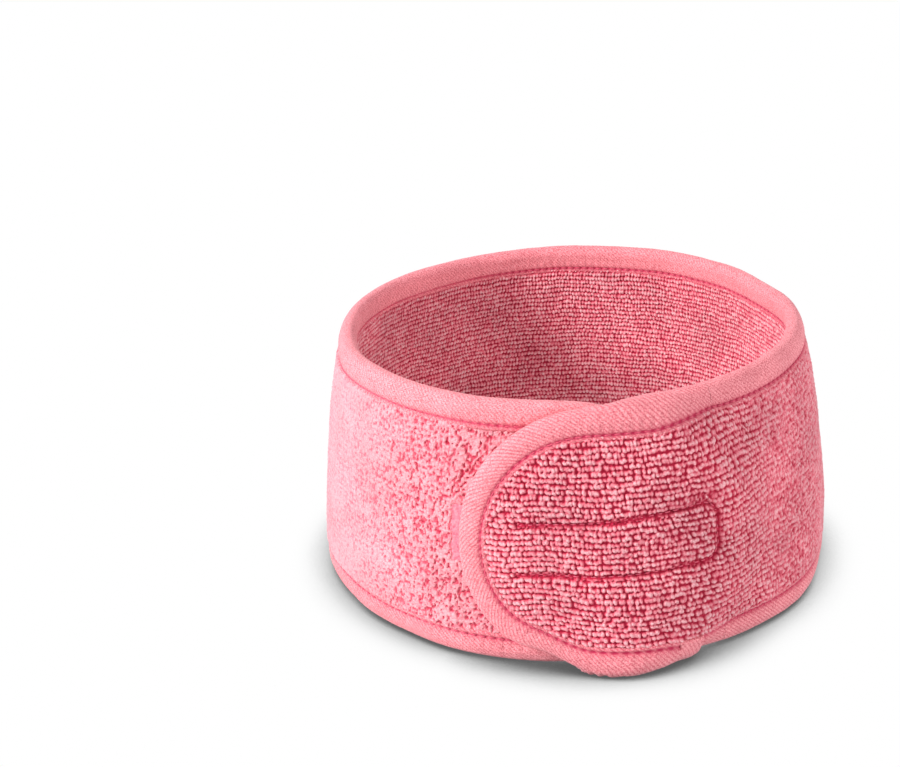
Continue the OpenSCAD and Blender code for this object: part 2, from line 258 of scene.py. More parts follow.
def ply_surface(A, v, side):
    """Offset of a ply's pile side from the strip's middle, the pile value that drives the painted crevice shade, and
    the side shift of the pile.
    """
    d = inside(A, v)
    s = arc_len(A)
    if side > 0:
        hgt, lx, ly = loops(s, v, 1.24, 1.84, 11, 0.55, 0.40, 0.14)
        # the ends of the ring are fluffier, where the pile has been rubbed flat; the flap is crisp
        rgt = smooth((A - 33 + 5 * vnoise(s / 7.0, v / 6.0, 50)) / 22) * smooth((180 - A) / 50)
        soft = np.clip(smooth((A - 250) / 45) * (0.90 + 0.18 * vnoise(s / 9.0, v / 8.0, 43)) + 0.62 * rgt, 0, 1)
        fl = 0.5 + 0.5 * vnoise(s / 0.55, v / 0.60, 41)
        curl, cx_, cy_ = loops(s + 0.5 * vnoise(s / 2.0, v / 2.0, 44), v + 0.6 * vnoise(s / 1.8, v / 2.2, 45), 1.26, 1.62, 46, 0.80, 0.50, 0.0)
        crisp = smooth((A - 296) / 36) + 1.35 * rgt
        pit = smooth((vnoise(s / 0.62, v / 0.80, 47) - 0.34 + 0.20 * crisp - 0.06 * vnoise(s / 6.0, v / 6.0, 48)) / 0.30)
        felt = np.clip(0.785 + 0.05 * fl + (0.04 + 0.18 * crisp) * (curl - 0.5) - (0.12 + 0.29 * crisp) * pit, 0, 0.84)
        hgt = hgt * (1 - soft) + felt * soft
        # a few loops pulled out where the box seam turns
        cl = np.exp(-(((A - 26.0) / 3.0) ** 2) - (((v - 53.8) / 1.7) ** 2)) * (A < 40)
        snag = 0.5 + 0.5 * vnoise(s / 0.62, v / 0.62, 49)
        hgt = hgt * (1 - cl) + np.clip(1.5 * snag - 0.3, 0, 1.25) * cl
        relief = 1.20
    else:
        hgt, lx, ly = loops(s, v, 1.38, 1.76, 23, 0.20, 0.10, 0.16)
        relief = 0.95
    thick = full_thickness(A, side)
    edge = smooth((d - (TAPE_W - 1.9) + 0.35 * vnoise(s / 1.6, v / 1.6, 53)) / 1.7)   # pressed beneath the tape, over its lip
    base = 1.55 + (thick - relief - 1.55) * edge
    rel = relief * (0.12 + 0.88 * edge)
    swell = 0.14 * vnoise(s / 13.0, v / 11.0, 51) + 0.10 * vnoise(s / 5.0, v / 4.5, 52)
    n = base + swell * edge + rel * hgt + puff(A, v, side) * edge
    # The pile value also sets the colour: low pile gives the deep crimson of painted crevice shade, high pile the light
    # loop tops.
    pile_shade = hgt.copy() if side < 0 else hgt * (1 - 0.04 * soft)
    if side > 0:                                    # less painted crevice shade towards the flap's tip and lower down, where the pile is pressed flatter
        pressed_less_shade = 0.42 * smooth((9 - A + 4 * vnoise(s / 6.0, v / 5.0, 56)) / 16) * smooth((ZC + 22 - v) / 22)
        pile_shade = pile_shade * (1 - pressed_less_shade) + (0.40 + 0.46 * pile_shade) * pressed_less_shade
    if side > 0:
        dist = path_dist(s, v, HOOK_PATH)
        on = A < 40
        g = np.where(on, np.exp(-((dist / 0.70) ** 2)), 0)
        wide = np.where(on, np.exp(-((dist / 2.6) ** 2)), 0)
        broken = 0.86 + 0.14 * vnoise(s / 2.4, v / 2.4, 71)
        n = n - 1.05 * g * edge * broken - 0.30 * wide * edge
        # the colour darkens along the box seam's groove: painted shade
        pile_shade = pile_shade * (1 - 0.88 * g * broken)
        wob = 0.30 * vnoise(s / 1.3, v / 1.3, 54)
        bed = smooth((A - LOOP_A[0] - 0.15 + 0.7 * wob) / 0.7) * smooth((LOOP_A[1] + 0.5 - A) / 0.5) \
            * smooth((v - STRIP_Z[0] - 0.1 + wob) / 0.9) * smooth((STRIP_Z[1] - 0.1 - v + wob) / 0.9)
        n = n * (1 - bed) + 1.45 * bed
    else:
        dist = path_dist(s, v, LOOP_PATH)
        on = A > 325
        g = np.where(on, np.exp(-((dist / 0.62) ** 2)), 0)
        wide = np.where(on, np.exp(-((dist / 2.4) ** 2)), 0)
        n = n - 1.0 * g * edge - 0.25 * wide * edge
        # the colour darkens along the box seam's groove: painted shade
        pile_shade = pile_shade * (1 - 0.85 * g)
        bed = smooth((A - HOOK_A[0] + 0.5) / 0.5) * smooth((HOOK_A[1] + 0.5 - A) / 0.5) \
            * smooth((v - STRIP_Z[0] + 0.6) / 0.6) * smooth((STRIP_Z[1] + 0.6 - v) / 0.6)
        n = n * (1 - bed) + 1.45 * bed
    keep = edge * hgt
    return n, pile_shade, lx * keep * 0.55, ly * keep * 0.55


# ---------------------------------------------------------------- how the plies puff between their seams
def simulate(side):
    """Cloth under a little pressure, held along the edge tape's seam and the box seam: its outward swell on a coarse grid."""
    A = np.arange(F_TIP + 2.0, U_TIP - 2.0, 1.1)
    f = np.linspace(-1, 1, 31)
    hh = half_at(A, 5.6)
    AA = np.repeat(A[:, None], len(f), 1)
    VV = ZC + hh[:, None] * f[None]
    P = surf(AA, VV, side * 1.6)
    N = surf(AA, VV, side * 2.6) - P
    nr, nc = AA.shape
    k = 0.01                                        # one unit is 100 mm, so that the solver's steps suit the mesh
    me = bpy.data.meshes.new("ply_coarse")
    me.from_pydata((P.reshape(-1, 3) * k).tolist(), [], grid_quads(nr, nc, 0, flip=side < 0).tolist())
    me.update()
    ob = bpy.data.objects.new("ply_coarse", me)
    bpy.context.scene.collection.objects.link(ob)
    s = arc_len(AA)
    box = path_dist(s, VV, HOOK_PATH) if side > 0 else path_dist(s, VV, LOOP_PATH)
    on = (AA < 40) if side > 0 else (AA > 325)
    held = (inside(AA, VV) < SEAM_IN + 0.8) | ((box < 1.3) & on)
    held[0], held[-1] = True, True
    g = ob.vertex_groups.new(name="held")
    g.add(np.nonzero(held.ravel())[0].tolist(), 1.0, "REPLACE")
    md = ob.modifiers.new("cloth", "CLOTH")
    cs = md.settings
    cs.quality = 6
    cs.mass = 0.25
    cs.tension_stiffness = cs.compression_stiffness = 12.0
    cs.shear_stiffness = 4.0
    cs.bending_stiffness = 0.35
    cs.shrink_min = cs.shrink_max = -0.014
    cs.vertex_group_mass = "held"
    cs.use_pressure = True
    cs.uniform_pressure_force = 1.2
    cs.effector_weights.gravity = 0.0
    md.collision_settings.use_collision = False
    md.collision_settings.use_self_collision = False
    md.point_cache.frame_start, md.point_cache.frame_end = 1, 18
    sc = bpy.context.scene
    for fr in range(1, 17):
        sc.frame_set(fr)
    ev = ob.evaluated_get(bpy.context.evaluated_depsgraph_get())
    co = np.empty(len(ev.data.vertices) * 3, np.float32)
    ev.data.vertices.foreach_get("co", co)
    d = np.sum((co.reshape(nr, nc, 3) / k - P) * N, -1)
    sc.frame_set(1)
    bpy.data.objects.remove(ob)
    bpy.data.meshes.remove(me)
    return A, f, np.clip(d, -0.5, 1.1)


PUFF = {}


def puff(A, v, side):
    """The swell at any point, read from the coarse grid."""
    if side not in PUFF:
        PUFF[side] = simulate(side)
    Ag, f, d = PUFF[side]
    hh = half_at(A, 5.6)
    x = np.clip((A - Ag[0]) / (Ag[1] - Ag[0]), 0, len(Ag) - 1.001)
    y = np.clip(((v - ZC) / np.maximum(hh, 1e-3) + 1) / 2 * (len(f) - 1), 0, len(f) - 1.001)
    i, j = x.astype(int), y.astype(int)
    fx, fy = x - i, y - j
    q = (d[i, j] * (1 - fx) + d[i + 1, j] * fx) * (1 - fy) + (d[i, j + 1] * (1 - fx) + d[i + 1, j + 1] * fx) * fy
    # nothing swells where the flap and the end beneath press on each other
    pressed = smooth((36 - A) / 8) if side < 0 else smooth((A - 332) / 6)
    return q * (1 - 0.9 * pressed)


# ---------------------------------------------------------------- mesh making
def make_mesh(name, verts, quads, ngons=(), normals=None, attrs=None, mat=None):
    me = bpy.data.meshes.new(name)
    nv = len(verts)
    me.vertices.add(nv)
    me.vertices.foreach_set("co", (np.asarray(verts, float) * 0.001).astype(np.float32).ravel())
    quads = np.asarray(quads, np.int32).reshape(-1, 4)
    flat = quads.ravel().tolist()
    starts = list(range(0, len(flat), 4))
    for g in ngons:
        starts.append(len(flat))
        flat += [int(x) for x in g]
    me.loops.add(len(flat))
    me.loops.foreach_set("vertex_index", flat)
    me.polygons.add(len(starts))
    me.polygons.foreach_set("loop_start", starts)
    me.update(calc_edges=True)
    me.validate()
    me.polygons.foreach_set("use_smooth", [True] * len(me.polygons))
    for key, val in (attrs or {}).items():
        a = me.attributes.new(key, "FLOAT", "POINT")
        a.data.foreach_set("value", np.asarray(val, np.float32))
    if normals is not None:
        nrm = np.asarray(normals, np.float32)
        fn = np.empty(len(me.polygons) * 3, np.float32)
        me.polygons.foreach_get("normal", fn)
        first = np.array([p[0] for p in quads[:2000]])
        if np.sum(fn.reshape(-1, 3)[:2000] * nrm[first]) < 0:
            me.flip_normals()
        me.normals_split_custom_set_from_vertices(nrm.tolist())
    me.update()
    ob = bpy.data.objects.new(name, me)
    bpy.context.scene.collection.objects.link(ob)
    if mat is not None:
        me.materials.append(mat)
    return ob


def grid_quads(nr, nc, off=0, wrap=False, flip=False):
    i = np.arange(nr - 1)[:, None]
    j = np.arange(nc if wrap else nc - 1)[None]
    a = off + i * nc + j
    b = off + i * nc + (j + 1) % nc
    c = off + (i + 1) * nc + (j + 1) % nc
    d = off + (i + 1) * nc + j
    q = np.stack([a, b, c, d] if not flip else [a, d, c, b], -1)
    return q.reshape(-1, 4)


def grid_normals(P, out):
    gi = np.gradient(P, axis=0)
    gj = np.gradient(P, axis=1)
    n = np.cross(gi, gj)
    n /= np.maximum(np.linalg.norm(n, axis=-1, keepdims=True), 1e-9)
    sgn = np.sign(np.sum(n * out, -1, keepdims=True).mean())
    return n * (sgn if sgn else 1)


JOIN = {  # for each stretch of the strip: the bodies it bends between, and where
    0: ("flap",), 1: ("right_front", "flap", 59.0, 33.0), 2: ("right_front", "right_back", 74.0, 126.5),
    3: ("right_back", "back", 128.5, 181.0), 4: ("back", "left_back", 183.0, 235.5),
    5: ("left_back", "left_front", 237.5, 289.7), 6: ("left_front", "under_end", 292.0, 344.0), 7: ("under_end",)}
BODY_OF = ["flap", "right_front", "right_front", "right_back", "back", "left_back", "left_front", "under_end"]


def attach(ob, span):
    j = JOIN[span]
    if len(j) == 1:
        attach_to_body(ob, j[0])
    else:
        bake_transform(ob)


def span_range(k):
    lo = F_TIP if k == 0 else CUTS[k - 1]
    hi = U_TIP if k == 7 else CUTS[k]
    return lo, hi


SPAN_NAME = ["flap", "flap_fold", "right_front", "right_back", "back", "left_back", "left_front", "under_end"]
NODE_OF = ["flap", None, "right_front", "right_back", "back", "left_back", "left_front", "under_end"]


def make_ply(side, mat):
    """One ply, as closed shells: a dense pile side, a plain side towards the other ply."""
    W0 = 5.6
    pf = (ZC - W0) * 0.985
    a_lo = F_C - math.degrees(pf / F_R)
    a_hi = U_C + math.degrees(pf / U_R)
    first = math.ceil(a_lo / DA) * DA
    last = math.floor(a_hi / DA) * DA
    A = np.arange(round(first / DA), round(last / DA) + 1) * DA
    NV = 199
    f = np.linspace(-1, 1, NV)
    hh = half_at(A, W0)
    AA = np.repeat(A[:, None], NV, 1)
    VV = ZC + hh[:, None] * f[None]
    n, pile_shade, sx, sy = ply_surface(AA, VV, side)
    P = surf(AA + np.degrees(sx / R_ARC), VV + sy, side * n)
    a = np.radians(AA)
    out = np.stack([np.sin(a), -np.cos(a), 0 * a], -1) * side
    N = grid_normals(P, out)
    name = "outer" if side > 0 else "inner"
    made = []
    for k in range(8):
        lo, hi = span_range(k)
        i0 = 0 if k == 0 else int(np.searchsorted(A, lo - 1e-6))
        i1 = len(A) - 1 if k == 7 else int(np.searchsorted(A, hi - 1e-6))
        p = P[i0:i1 + 1]
        nr = len(p)
        fb = np.linspace(-1, 1, 8)
        Ab = np.repeat(A[i0:i1 + 1, None], 8, 1)
        pb = surf(Ab, ZC + hh[i0:i1 + 1, None] * fb[None], side * 0.06)
        verts = np.concatenate([p.reshape(-1, 3), pb.reshape(-1, 3)])
        nrm = np.concatenate([N[i0:i1 + 1].reshape(-1, 3), -out[i0:i1 + 1, :8].reshape(-1, 3)])
        c = np.concatenate([pile_shade[i0:i1 + 1].ravel(), np.ones(nr * 8)])
        off = nr * NV
        flip = side < 0
        q = [grid_quads(nr, NV, 0, flip=flip), grid_quads(nr, 8, off, flip=not flip)]
        lo_f = np.arange(nr) * NV
        hi_f = lo_f + NV - 1
        lo_b = off + np.arange(nr) * 8
        hi_b = lo_b + 7
        s1 = np.stack([lo_f[:-1], lo_f[1:], lo_b[1:], lo_b[:-1]], -1)
        s2 = np.stack([hi_f[:-1], hi_b[:-1], hi_b[1:], hi_f[1:]], -1)
        if flip:
            s1, s2 = s1[:, ::-1], s2[:, ::-1]
        q += [s1, s2]
        e1 = list(range(0, NV)) + list(range(off + 7, off - 1, -1))
        b = (nr - 1)
        e2 = list(range(b * NV, b * NV + NV)) + list(range(off + b * 8 + 7, off + b * 8 - 1, -1))
        ng = [e1[::-1], e2] if not flip else [e1, e2[::-1]]
        ob = make_mesh(f"{name}_towelling_{SPAN_NAME[k]}", verts, np.concatenate(q), ng, nrm, {"pile": c}, mat)
        made.append(ob)
    return made


# ---------------------------------------------------------------- edge tape
def section(fine=True):
    """(w, n, t) round the tape: w is the distance in from the edge, n the offset, t the length along the outside; then its lining."""
    w, n = [], []
    TW = TAPE_W
    wl = np.concatenate([[TW + 0.02, TW, TW - 0.15, TW - 0.4], np.arange(TW - 0.8, 2.95, -0.40)])
    lip = lambda x: 2.72 - 0.50 * smooth((x - TW + 0.9) / 0.9) - 0.28 * (x > TW + 0.01)
    roll = lambda x: 0.30 * math.exp(-(((x - 4.4) / 1.9) ** 2)) + 0.20 * math.exp(-(((x - TW + 0.55) / 0.40) ** 2))
    for x in wl:
        w.append(x)
        n.append(lip(x) + roll(x))
    for t in np.linspace(90, -90, 19):
        w.append(2.78 - 2.78 * math.cos(math.radians(t)) if abs(t) < 90 else 2.78)
        n.append(2.74 * math.sin(math.radians(t)))
    for x in wl[::-1]:
        w.append(x)
        n.append(-lip(x))
    w, n = np.array(w), np.array(n)
    t = np.concatenate([[0], np.cumsum(np.hypot(np.diff(w), np.diff(n)))])
    lw = np.array([TW - 0.05, 7.6, 6.0, 3.0, 1.6, 1.0, 1.6, 3.0, 6.0, 7.6, TW - 0.05])
    ln = -np.array([1.72, 1.75, 1.75, 1.7, 1.35, 0.0, -1.35, -1.7, -1.75, -1.75, -1.72])
    return w, n, t, lw, ln


def tape_relief(u, w, n, t, side_n, amp=1.0):
    """Outward push of the tape's face: the seam's groove, its puckers, the twill's ribs and slow bulges."""
    g = np.exp(-(((w - SEAM_IN) / 0.62) ** 2))
    stitch = 0.5 + 0.5 * np.cos(2 * math.pi * u / 3.0)
    groove = -0.62 * g * (0.70 + 0.30 * stitch)
    puck = 0.10 * np.exp(-(((w - SEAM_IN - 1.7) / 1.0) ** 2)) * np.cos(2 * math.pi * u / 3.0 + 3.0) \
        + 0.09 * np.exp(-(((w - SEAM_IN + 2.2) / 1.5) ** 2)) * np.cos(2 * math.pi * u / 3.0 + 3.0)
    lip = 0.12 * vnoise(u / 3.7, np.zeros_like(u) + side_n * 3, 61) * smooth((w - SEAM_IN - 0.6) / 0.9)
    slow = 0.16 * vnoise(u / 17.0, t / 9.0, 62) + 0.07 * vnoise(u / 4.6, t / 4.0, 63)
    nap = 0.03 * vnoise(u / 0.62, t / 0.62, 64)
    ribs = 0.024 * np.sin(2 * math.pi * (u * 0.66 + t * 0.75) / 1.05) * (1 - 0.6 * g) + nap
    return amp * (groove + puck + lip + slow + ribs)


LAP_A = 24.4


def tape_piece(name, As, Vfun, us, mat, extra=None, close=True):
    """A length of folded tape. As(w, i) and Vfun(w, i) give azimuth and height for the outline's stations."""
    w, n, t, lw, ln = section()
    W = np.repeat(w[None], len(us), 0)
    NN = np.repeat(n[None], len(us), 0)
    T = np.repeat(t[None], len(us), 0)
    U = np.repeat(us[:, None], len(w), 1)
    A0, V0 = As(W), Vfun(W)
    out = np.sign(NN)
    rel = tape_relief(U, W, NN, T, out)
    # the push is along the section's own normal: sideways on the legs, outwards round the rim
    ang = np.where(W < 2.78, np.arctan2(NN / 2.74, (2.78 - W) / 2.78), np.where(NN > 0, math.pi / 2, -math.pi / 2))
    dn, dw = np.sin(ang) * rel, -np.cos(ang) * rel
    if extra is not None:
        dn2, dw2 = extra(A0, V0, W, NN)
        dn, dw = dn + dn2, dw + dw2
    W2 = W + np.where(np.abs(dw) > 0, dw, 0)
    A1, V1 = As(W2), Vfun(W2)
    P = surf(A1, V1, NN + dn)
    LW = np.repeat(lw[None], len(us), 0)
    LN = np.repeat(ln[None], len(us), 0)
    Q = surf(As(LW), Vfun(LW), LN)
    ring = np.concatenate([P, Q], 1)
    return ring, T, U, W, NN


# ---------------------------------------------------------------- materials
def new_mat(name):
    m = bpy.data.materials.new(name)
    m.use_nodes = True
    nt = m.node_tree
    nt.nodes.clear()
    out = nt.nodes.new("ShaderNodeOutputMaterial")
    b = nt.nodes.new("ShaderNodeBsdfPrincipled")
    nt.links.new(b.outputs[0], out.inputs[0])
    return m, nt, b


def srgb(r, g, b):
    f = lambda c: (c / 255 / 12.92) if c / 255 <= 0.04045 else ((c / 255 + 0.055) / 1.055) ** 2.4
    return (f(r), f(g), f(b), 1.0)


def node(nt, kind, **kw):
    n = nt.nodes.new(kind)
    for k, v in kw.items():
        setattr(n, k, v)
    return n


def noise(nt, co, scale, detail=2.0, rough=0.5):
    n = node(nt, "ShaderNodeTexNoise")
    n.inputs["Scale"].default_value = scale
    n.inputs["Detail"].default_value = detail
    n.inputs["Roughness"].default_value = rough
    nt.links.new(co, n.inputs["Vector"])
    return n.outputs["Fac"]


def ramp(nt, fac, stops):
    r = node(nt, "ShaderNodeValToRGB")
    while len(r.color_ramp.elements) < len(stops):
        r.color_ramp.elements.new(0.5)
    for e, (p, c) in zip(r.color_ramp.elements, stops):
        e.position, e.color = p, c
    nt.links.new(fac, r.inputs[0])
    return r.outputs[0]


def mixc(nt, fac, a, b, mode="MIX"):
    m = node(nt, "ShaderNodeMix", data_type="RGBA", blend_type=mode)
    if isinstance(fac, (int, float)):
        m.inputs[0].default_value = fac
    else:
        nt.links.new(fac, m.inputs[0])
    for x, s in ((a, m.inputs[6]), (b, m.inputs[7])):
        if isinstance(x, tuple):
            s.default_value = x
        else:
            nt.links.new(x, s)
    return m.outputs[2]


def bump(nt, b, height, dist, strength=1.0, prev=None):
    n = node(nt, "ShaderNodeBump")
    n.inputs["Distance"].default_value = dist
    n.inputs["Strength"].default_value = strength
    nt.links.new(height, n.inputs["Height"])
    if prev is not None:
        nt.links.new(prev, n.inputs["Normal"])
    nt.links.new(n.outputs[0], b.inputs["Normal"])
    return n.outputs[0]


def terry_material(name, deep_shade, low, top, sheen):
    m, nt, b = new_mat(name)
    co = node(nt, "ShaderNodeTexCoord").outputs["Object"]
    att = node(nt, "ShaderNodeAttribute", attribute_name="pile", attribute_type="GEOMETRY").outputs["Fac"]
    # pile value to colour: the deep colour is painted shade in the crevices between loops
    c = ramp(nt, att, [(0.0, deep_shade), (0.30, deep_shade), (0.58, low), (0.86, top)])
    big = noise(nt, co, 55.0, 3.0)
    c = mixc(nt, 0.5, c, ramp(nt, big, [(0.3, srgb(200, 200, 200)), (0.7, srgb(255, 255, 255))]), "MULTIPLY")
    fibre = noise(nt, co, 2600.0, 3.0, 0.7)
    c = mixc(nt, 0.30, c, ramp(nt, fibre, [(0.3, srgb(170, 120, 130)), (0.75, srgb(255, 255, 255))]), "MULTIPLY")
    # bead-like cells with darker edges: painted shade between the loops
    bead_edge_shade = node(nt, "ShaderNodeTexVoronoi", feature="DISTANCE_TO_EDGE")
    bead_edge_shade.inputs["Scale"].default_value = 980.0
    nt.links.new(co, bead_edge_shade.inputs["Vector"])
    c = mixc(nt, 0.42, c, ramp(nt, bead_edge_shade.outputs["Distance"], [(0.01, srgb(200, 80, 112)), (0.10, srgb(255, 255, 255))]), "MULTIPLY")
    nt.links.new(c, b.inputs["Base Color"])
    b.inputs["Roughness"].default_value = 0.92
    b.inputs["Specular IOR Level"].default_value = 0.25
    b.inputs["Sheen Weight"].default_value = sheen
    b.inputs["Sheen Roughness"].default_value = 0.5
    b.inputs["Sheen Tint"].default_value = srgb(255, 200, 208)
    twist = noise(nt, co, 1500.0, 2.0, 0.6)
    p = bump(nt, b, twist, 0.00035, 0.8)
    bump(nt, b, fibre, 0.00012, 0.7, p)
    return m


def tape_material(name, dark, light):
    m, nt, b = new_mat(name)
    co = node(nt, "ShaderNodeTexCoord").outputs["Object"]
    rib = node(nt, "ShaderNodeAttribute", attribute_name="rib", attribute_type="GEOMETRY").outputs["Fac"]
    c = ramp(nt, rib, [(0.0, dark), (0.6, light)])
    # groove value: painted shade in the seam's groove and in the gutter by the pile, mixed towards crimson
    gr = node(nt, "ShaderNodeAttribute", attribute_name="groove", attribute_type="GEOMETRY").outputs["Fac"]
    fuzz = noise(nt, co, 2500.0, 3.0, 0.7)
    c = mixc(nt, 0.78, c, ramp(nt, fuzz, [(0.38, srgb(178, 92, 110)), (0.50, srgb(238, 208, 212)), (0.60, srgb(255, 255, 255))]), "MULTIPLY")
    c = mixc(nt, gr, c, srgb(186, 40, 78))
    big = noise(nt, co, 70.0, 3.0)
    c = mixc(nt, 0.4, c, ramp(nt, big, [(0.3, srgb(215, 205, 208)), (0.7, srgb(255, 255, 255))]), "MULTIPLY")
    nt.links.new(c, b.inputs["Base Color"])
    b.inputs["Roughness"].default_value = 0.85
    b.inputs["Specular IOR Level"].default_value = 0.3
    b.inputs["Sheen Weight"].default_value = 0.30
    b.inputs["Sheen Roughness"].default_value = 0.4
    b.inputs["Sheen Tint"].default_value = srgb(255, 205, 212)
    fine = noise(nt, co, 1300.0, 2.0, 0.6)
    p = bump(nt, b, fine, 0.0002, 0.5)
    bump(nt, b, fuzz, 0.00010, 0.8, p)
    return m


def plain_material(name, dark, light, scale, rough=0.8, sheen=0.2, dist=0.0001):
    m, nt, b = new_mat(name)
    co = node(nt, "ShaderNodeTexCoord").outputs["Object"]
    f = noise(nt, co, scale, 3.0, 0.7)
    nt.links.new(ramp(nt, f, [(0.3, dark), (0.7, light)]), b.inputs["Base Color"])
    b.inputs["Roughness"].default_value = rough
    b.inputs["Specular IOR Level"].default_value = 0.3
    b.inputs["Sheen Weight"].default_value = sheen
    b.inputs["Sheen Roughness"].default_value = 0.4
    b.inputs["Sheen Tint"].default_value = srgb(255, 205, 212)
    bump(nt, b, f, dist, 0.8)
    return m


# each terry's first colour is the painted crevice shade
M_OUT = terry_material("terry_outer", srgb(200, 30, 70), srgb(245, 123, 141), srgb(255, 193, 199), 0.35)
# the inner ply's own colours, its top colour lifted above the outer's as painted light for the shaded inside
M_IN_PAINTED_LIGHT = terry_material("terry_inner_painted_light", srgb(186, 24, 64), srgb(242, 122, 140), srgb(255, 200, 204), 0.35)
M_TAPE = tape_material("edge_tape", srgb(231, 124, 138), srgb(254, 171, 177))
M_THREAD = plain_material("thread", srgb(178, 44, 78), srgb(222, 98, 122), 1800.0)
M_BOX = plain_material("box_thread", srgb(196, 60, 92), srgb(232, 116, 136), 1800.0)
M_HOOK = plain_material("hook_strip", srgb(214, 112, 132), srgb(240, 150, 165), 900.0, 0.45, 0.0)
M_LOOP = plain_material("loop_strip", srgb(216, 88, 112), srgb(250, 150, 163), 900.0, 0.95, 0.4, 0.0004)

# ---------------------------------------------------------------- build: plies
for side, mat in ((1, M_OUT), (-1, M_IN_PAINTED_LIGHT)):
    label = "outer" if side > 0 else "inner"
    for k, ob in enumerate(make_ply(side, mat)):
        attach(ob, k)
        if NODE_OF[k]:
            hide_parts(f"{label}_terry_{NODE_OF[k]}")


# ---------------------------------------------------------------- build: edge tape
def straight(top):
    A_of = lambda A: (lambda W: np.repeat(A[:, None], W.shape[1], 1))
    V_of = (lambda W: H - W) if top else (lambda W: W)
    return A_of, V_of


def tip(centre, Re, sgn, q):
    """Stations round a tip: q from 0 at the top to 180 degrees at the bottom."""
    qq = np.radians(q)[:, None]
    return (lambda W: centre + sgn * np.degrees((ZC - W) * np.sin(qq) / Re)), (lambda W: ZC + (ZC - W) * np.cos(qq))


def lap_push(A, V, W, NN):
    """On the flap's lower edge the tape is doubled from the lap towards the tip, so it is thicker and hangs lower there."""
    on = smooth((LAP_A - A) / 0.5) * smooth((A - (LAP_A - 30)) / 14) * (V < ZC)
    dn = 0.42 * np.sign(NN) * on * smooth((np.abs(NN) - 0.5) / 1.5)
    dw = -1.25 * on * smooth((7.6 - W) / 7.6)
    return dn, dw


def build_tape(name, A_st, As, Vs, us, span, nodes, extra=None):
    w, n, t, lw, ln = section()
    ring, T, U, W, NN = tape_piece(name, As, Vs, us, M_TAPE, extra)
    return ring, T, U, W


DU = math.radians(DA) * R_ARC * 1.0   # station spacing on the straights
w_, n_, t_, lw_, ln_ = section()
NW, NL = len(w_), len(lw_)


def ring_normals(P):
    """Normals of a tape's outer face from the whole run."""
    gi = np.gradient(P, axis=0)
    gj = np.gradient(P, axis=1)
    nn = np.cross(gi, gj)
    nn /= np.maximum(np.linalg.norm(nn, axis=-1, keepdims=True), 1e-9)
    return nn


def tape_mesh(name, ring, T, U, i0, i1, NRM, flip):
    R = ring[i0:i1 + 1]
    nr, m = R.shape[:2]
    verts = R.reshape(-1, 3)
    q = grid_quads(nr, m, 0, wrap=True, flip=flip)
    e1 = list(range(m))
    e2 = [(nr - 1) * m + j for j in range(m)]
    ng = [e1[::-1], e2]
    if flip:
        ng = [g[::-1] for g in ng]
    rib = 0.5 + 0.5 * np.sin(2 * math.pi * (U * 0.66 + T * 0.75) / 1.05)
    rb = np.concatenate([rib[i0:i1 + 1], np.full((nr, NL), 0.5)], 1)
    stitch = 0.5 + 0.5 * np.cos(2 * math.pi * U[i0:i1 + 1] / 3.0)
    # painted shade along the seam's groove, darker at each stitch, and in the gutter by the pile; weaker on the left,
    # where the key light falls
    groove_shade = np.exp(-(((w_[None] - SEAM_IN) / 0.55) ** 2)) * (0.35 + 0.65 * stitch) + 0.30 * np.exp(-(((w_[None] - SEAM_IN) / 1.5) ** 2)) + 0.16 * smooth((w_[None] - SEAM_IN - 0.5) / 1.0)
    groove_shade = groove_shade * (1 - 0.55 * smooth((-R[:, :NW, 0] - 10) / 45))
    groove_shade = np.concatenate([groove_shade, np.zeros((nr, NL))], 1)
    nrm = NRM[i0:i1 + 1].reshape(-1, 3)
    return make_mesh(name, verts, q, ng, nrm, {"rib": rb.ravel(), "groove": groove_shade.ravel()}, M_TAPE)


def whole_normals(ring):
    n = np.zeros_like(ring)
    gi = np.gradient(ring, axis=0)
    ext = np.concatenate([ring[:, -1:], ring, ring[:, :1]], 1)
    gj = (ext[:, 2:] - ext[:, :-2])
    n = np.cross(gi, gj)
    n /= np.maximum(np.linalg.norm(n, axis=-1, keepdims=True), 1e-9)
    return n


def signed(ring):
    """Which way the section winds: compare a leg's normal with the outward direction."""
    n = whole_normals(ring)
    i = len(ring) // 2
    p = ring[i, 8]
    c = ring[i, :NW].mean(0)
    out = np.array([p[0], p[1] - SY, 0])
    return n, 1.0 if n[i, 8] @ out > 0 else -1.0


def outline(A_root, Ac):
    """Stations round an end: along its upper rim, round the tip, and the length so far."""
    n_st = int(abs(Ac - A_root) / DA)
    a_st = np.linspace(A_root, Ac, n_st + 1)
    q_st = np.linspace(0, 180, int(math.pi * ZC / 0.42))
    leg = np.abs(np.diff(a_st)) * math.pi / 180 * R_ARC
    du = np.concatenate([leg, np.diff(q_st) * math.pi / 180 * (ZC - 4), leg])
    return n_st, a_st, q_st, np.concatenate([[0], np.cumsum(du)])


# the lower run goes on from where the outline of the end beneath ends
LOW_U = 2 * float(arc_len(CUTS[-1])) + float(outline(CUTS[-1], U_C)[3][-1])
tapes = {}
for top in (True, False):
    A = np.arange(round(CUTS[0] / DA), round(CUTS[-1] / DA) + 1) * DA
    A_of, V_of = straight(top)
    us = arc_len(A) if top else LOW_U - arc_len(A)
    ring, T, U, W, NN = tape_piece("x", A_of(A), V_of, us, None)
    NRM, sg = signed(ring)
    label = "top" if top else "bottom"
    for k in range(1, 7):
        lo, hi = span_range(k)
        i0, i1 = int(np.searchsorted(A, lo - 1e-6)), int(np.searchsorted(A, hi - 1e-6))
        ob = tape_mesh(f"edge_tape_{label}_{SPAN_NAME[k]}", ring, T, U, i0, i1, NRM * sg, sg < 0)
        tapes[(label, k)] = ob
        attach(ob, k)
        if NODE_OF[k]:
            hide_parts(f"{label}_binding_{NODE_OF[k]}")

